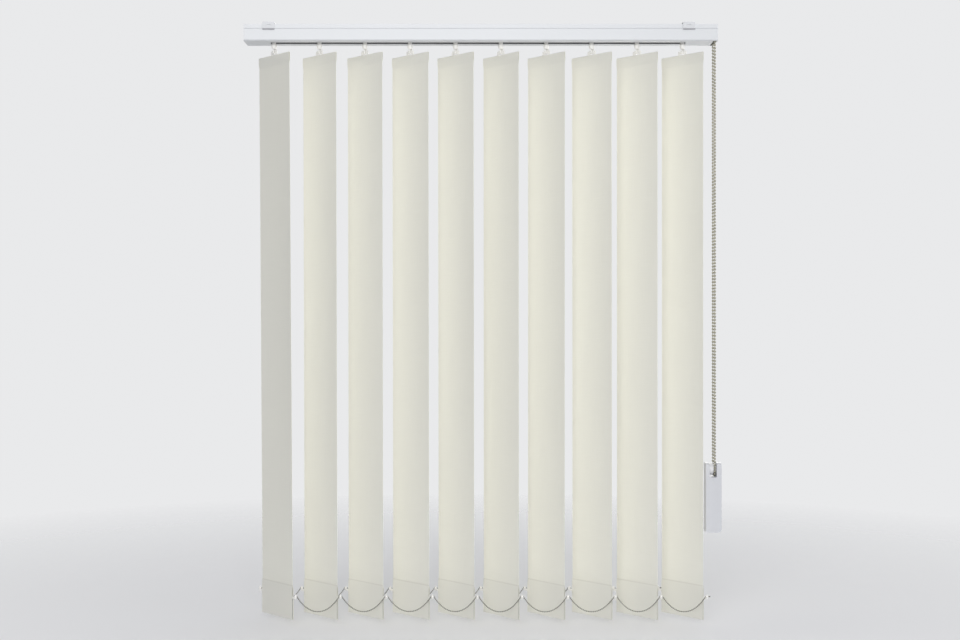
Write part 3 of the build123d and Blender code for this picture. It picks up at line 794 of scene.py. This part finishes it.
pin_reach = 0.0525
plate_low, plate_high = -0.99035, -0.95035
arm_top = plate_high - 0.002
sheet_loop = rounded_loop(0.043, 0.02, 0.002) + (0, (plate_low + plate_high) / 2)
arm_loop = rounded_loop(pin_reach + 0.001, 0.0015, 0.0006) + (0, arm_top - 0.0015)
weight_points, weight_faces = joined(
    [
        slab(sheet_loop, -0.0009, 0.0009, 0.0003),
        slab(arm_loop, -0.00088, 0.00088, 0.0003),
        post(pin_reach, arm_top - 0.0004, arm_top + 0.0045, 0.001),
        post(-pin_reach, arm_top - 0.0004, arm_top + 0.0045, 0.001),
    ]
)
print("bottom weight points:", len(weight_points))

# %% Hangers and weights hang on their louvres
for i in range(louvre_count):
    number = f"{i + 1:02d}"
    hanger = make_piece(
        f"hanger_{number}", hung(hanger_points, i), hanger_faces,
        f"louvre_{number}", hook_plastic,
    )
    bottom_weight = make_piece(
        f"bottom_weight_{number}", hung(weight_points, i), weight_faces,
        f"louvre_{number}", pocket_plastic,
    )
print("volumes, mm3:", round(volume(hanger) * 1e9), round(volume(bottom_weight) * 1e9))
for piece in cloths:
    number = piece.name[-2:]

# %% [markdown]
# ## The chains at the foot
#
# Two fine ball chains keep the louvres a set distance apart, one along their front
# edges and one along their rear edges. Between two pins such a chain hangs in a
# catenary, the curve of a hanging rope. Its steepness follows from how far it sags,
# found by halving an interval many times. Each chain end is held by a small clip
# round the pin. The clips turn with their louvre. The chains keep their direction, and
# when the louvres are drawn aside they bunch up, so they flatten towards the last pin.

# %% Catenary
chain_sag = 0.025
ring_z = arm_top + 0.00135
ring_edge = 0.0021
chain_ball, chain_wire, chain_pitch = 0.00105, 0.0004, 0.0029


def catenary(start, stop, sag, count=60):
    """A hanging line between two points at one height: z falls by
    c (cosh(s / c) - cosh(x / c)), where s is half the span and c gives the sag."""
    half = np.linalg.norm(stop - start) / 2
    low_c, high_c = half / 8, half * 8
    for _ in range(60):
        c = (low_c + high_c) / 2
        deeper = c * (np.cosh(half / c) - 1) > sag
        low_c, high_c = (c, high_c) if deeper else (low_c, c)
    x = np.linspace(-half, half, count)
    line = start + (stop - start) * ((x + half) / (2 * half))[:, None]
    line[:, 2] -= c * (np.cosh(half / c) - np.cosh(x / c))
    return line


pins = {}
for name, side in (("front", 1), ("rear", -1)):
    pins[name] = np.array(
        [hung((side * pin_reach, 0, ring_z), i) for i in range(louvre_count)]
    )
print("front pins' x:", np.round(pins["front"][:, 0], 3))


# %% Rings and ball chains
def clip_ring(inner=0.00115, outer=0.0023, half=0.0012, around=18):
    """A ring round a pin: a rounded square section carried round the pin's axis."""
    a = np.linspace(0, 2 * pi, around, endpoint=False)[None, :]
    soft = 0.0003
    section = np.array(
        [
            (inner, -half + soft), (inner + soft, -half), (outer - soft, -half),
            (outer, -half + soft), (outer, half - soft), (outer - soft, half),
            (inner + soft, half), (inner, half - soft),
        ]
    )
    r, z = section[:, :1], section[:, 1:]
    rings = np.stack([r * np.cos(a), r * np.sin(a), z + 0 * a], -1)
    faces = grid_quads(8, around, wrap_rows=True, wrap_columns=True)
    return rings.reshape(-1, 3), [faces]


def foot_chain(places):
    """Ball chain from pin to pin, and the short end that is left over."""
    parts = []
    ball_points, *ball_faces = ball(chain_ball, 8, 4)
    for left, right in zip(places[:-1], places[1:]):
        reach = (right - left) / np.linalg.norm(right - left) * ring_edge
        line = catenary(left + reach, right - reach, chain_sag)
        length = along(line, 10)[2]
        balls = round(length / chain_pitch)
        even, ahead, _ = along(line, balls)
        parts.append(copies(ball_points, ball_faces, even))
        side = np.cross(reach, (0, 0, 1))
        rings = tube(even, ahead, side / np.linalg.norm(side), chain_wire)
        rows, columns = rings.shape[:2]
        ends = [even[:1], even[-1:]]
        points = np.vstack([rings.reshape(-1, 3), *ends])
        first, last = np.arange(columns), np.arange(columns) + (rows - 1) * columns
        caps = np.vstack(
            [cap_fan(first, rows * columns)[:, ::-1], cap_fan(last, rows * columns + 1)]
        )
        parts.append((points, [grid_quads(rows, columns, wrap_columns=True), caps]))
    stub = places[-1] + np.outer([0.0031, 0.0047], (1, 0, 0))
    parts.append(copies(ball_points, ball_faces, stub))
    return joined(parts)


for name, body in (("front", "front_chain"), ("rear", "rear_chain")):
    points, faces = foot_chain(pins[name])
    chain = make_piece(
        f"{name}_ball_chain", points, faces, body, link_metal,
        [f"{name}_bottom_chain"], 60,
    )
    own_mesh(chain)
    print(name, "chain faces", len(chain.data.polygons), "volume", volume(chain) * 1e9)

# %% A clip on every pin
for i in range(louvre_count):
    number = f"{i + 1:02d}"
    both_pins = np.stack([pins["front"][i], pins["rear"][i]])
    points, faces = copies(*clip_ring(), both_pins)
    clips = make_piece(
        f"clips_{number}", points, faces, f"louvre_{number}",
        hook_plastic, (), 60,
    )
print("clips of one louvre, mm3:", round(volume(clips) * 1e9, 1))

# %% [markdown]
# ## The worms
#
# Inside each carrier a worm sits on the six-sided rod and turns the toothed wheel of
# the hook. A worm is a cylinder with one thread round it: its radius depends on the
# angle and on the way along the axis, so the whole skin is one formula. The bore is
# six-sided, and the skin goes on through it, which closes the shell like a ring. Nine
# worms slide along the rod with their carriers, and the last one stays in its place.

# %% Threaded worm
worm_half, worm_core, worm_tip = 0.0083, 0.0035, 0.0053
thread_half, thread_pitch = 0.0050, pi * 0.00088


def worm_skin(around=40, steps=64):
    """Outer radius = core + (tip - core) * a flat-topped wave of (x / pitch - angle /
    one turn), faded out at the thread's ends. Inner radius = a hexagon about the rod."""
    angle = np.linspace(0, 2 * pi, around, endpoint=False)[None, :]
    x = np.concatenate(
        [[-worm_half], np.linspace(-thread_half, thread_half, steps), [worm_half]]
    )[:, None]
    wave = np.cos(2 * pi * (x / thread_pitch - angle / (2 * pi)))
    tooth = np.clip(0.5 + 0.9 * wave, 0, 1)
    fade = np.clip((thread_half - np.abs(x)) / 0.0008, 0, 1)
    outer = worm_core + (worm_tip - worm_core) * tooth * fade
    flat = 0.0023 + 0.00005
    hexagon = flat / np.cos((angle + pi / 6) % (pi / 3) - pi / 6)
    inner = np.repeat(hexagon, 2, axis=0)
    radius = np.vstack([outer, inner])
    station = np.vstack([x, [[worm_half], [-worm_half]]])
    y = rod_y + radius * np.cos(angle)
    z = rod_z + radius * np.sin(angle)
    return np.stack([np.broadcast_to(station, y.shape), y, z], -1)


worm_rings = worm_skin()
worm_faces = [grid_quads(*worm_rings.shape[:2], wrap_rows=True, wrap_columns=True)]
for i in range(louvre_count):
    number = f"{i + 1:02d}"
    body = "rod" if i == louvre_count - 1 else f"worm_{number}"
    worm = make_piece(
        f"threaded_worm_{number}", (worm_rings + (louvre_x[i], 0, 0)).reshape(-1, 3),
        worm_faces, body, worm_plastic, [f"worm_{number}"], 40,
    )
print("worm volume, mm3:", round(volume(worm) * 1e9))

# %% [markdown]
# ## Floor and light
#
# The blind is shown in a plain studio. A pale floor just below the louvres catches
# their soft shadows, and fades out into the white surroundings, so no horizon shows.
# The surroundings give most of the light, less of it from the left, as beside a wall.
# A large softbox in front lights the louvres, a weaker one fills in from the right, and
# one behind sends some light through the cloth. That one is kept off the floor, which
# would otherwise show a hard bright patch in front of the blind.

# %% Floor
floor_mesh = bpy.data.meshes.new("floor")
reach, floor_z = 6.0, -1.004
floor_mesh.from_pydata(
    [(-reach, -reach, floor_z), (reach, -reach, floor_z), (reach, reach, floor_z),
     (-reach, reach, floor_z)], [], [(0, 1, 2, 3)],
)
floor = bpy.data.objects.new("floor", floor_mesh)
bpy.context.scene.collection.objects.link(floor)
floor_paint, tree, shader = new_material("floor_paint", (0.92, 0.92, 0.93), 0.7)
where = add_node(tree, "ShaderNodeTexCoord").outputs["Object"]
flat_place = add_node(
    tree, "ShaderNodeVectorMath", [(0, where), (1, (1, 1, 0))], operation="MULTIPLY"
).outputs[0]
away = add_node(
    tree, "ShaderNodeVectorMath", [(0, flat_place)], operation="LENGTH"
).outputs["Value"]
fading = add_node(
    tree, "ShaderNodeMapRange", [("Value", away), ("From Min", 0.3), ("From Max", 1.8)]
).outputs[0]
clear = add_node(tree, "ShaderNodeBsdfTransparent")
faded = add_node(
    tree, "ShaderNodeMixShader",
    [(0, fading), (1, shader.outputs[0]), (2, clear.outputs[0])],
)
tree.links.new(faded.outputs[0], tree.nodes["Material Output"].inputs["Surface"])
floor_mesh.materials.append(floor_paint)
print("floor at z =", floor_mesh.vertices[0].co.z)

# %% Surroundings
world = bpy.data.worlds.new("studio")
bpy.context.scene.world = world
world.use_nodes = True
tree = world.node_tree
soft = tree.nodes["Background"]
soft.inputs[0].default_value = (0.96, 0.97, 1.0, 1)
toward = add_node(tree, "ShaderNodeTexCoord").outputs["Generated"]
sideways = add_node(tree, "ShaderNodeSeparateXYZ", [("Vector", toward)]).outputs[0]
strength = add_node(
    tree, "ShaderNodeMapRange",
    [("Value", sideways), ("From Min", -1.0), ("From Max", 0.4), ("To Min", 0.27),
     ("To Max", 0.68)],
).outputs[0]
tree.links.new(strength, soft.inputs[1])
shown = add_node(tree, "ShaderNodeBackground", [(0, (0.815, 0.82, 0.83, 1)), (1, 1.0)])
path = add_node(tree, "ShaderNodeLightPath").outputs
seen = path["Is Camera Ray"]
for other in ("Is Glossy Ray", "Is Transmission Ray"):
    seen = maths(tree, "MAXIMUM", seen, path[other])
both = add_node(
    tree, "ShaderNodeMixShader",
    [(0, seen), (1, soft.outputs[0]), (2, shown.outputs[0])],
)
tree.links.new(both.outputs[0], tree.nodes["World Output"].inputs["Surface"])
print("surroundings:", world.name)


# %% Softboxes
def softbox(name, place, target, size, power, colour):
    """A square area lamp at place, turned to face target, hidden from the camera."""
    lamp = bpy.data.lights.new(name, "AREA")
    lamp.shape = "SQUARE"
    lamp.size = size
    lamp.energy = power
    lamp.color = colour
    holder = bpy.data.objects.new(name, lamp)
    holder.location = place
    aim = np.array(target, float) - np.array(place, float)
    holder.rotation_euler = Vector(aim).to_track_quat("-Z", "Y").to_euler()
    holder.visible_camera = False
    bpy.context.scene.collection.objects.link(holder)
    return holder


softbox("key", (-0.3, -3.0, 0.3), (0, 0, -0.5), 1.8, 42, (1, 0.995, 0.985))
softbox("fill", (2.2, -2.2, 0.3), (0, 0, -0.5), 1.8, 8, (0.98, 0.99, 1))
behind = softbox("behind", (1.1, 2.5, 0.6), (0, 0, -0.5), 1.8, 52, (1, 0.98, 0.93))
lit = bpy.data.collections.new("lit_from_behind")
for piece in bpy.context.scene.objects:
    if piece.type == "MESH" and piece is not floor:
        lit.objects.link(piece)
behind.light_linking.receiver_collection = lit

# %% View settings
bpy.context.scene.view_settings.view_transform = "Standard"
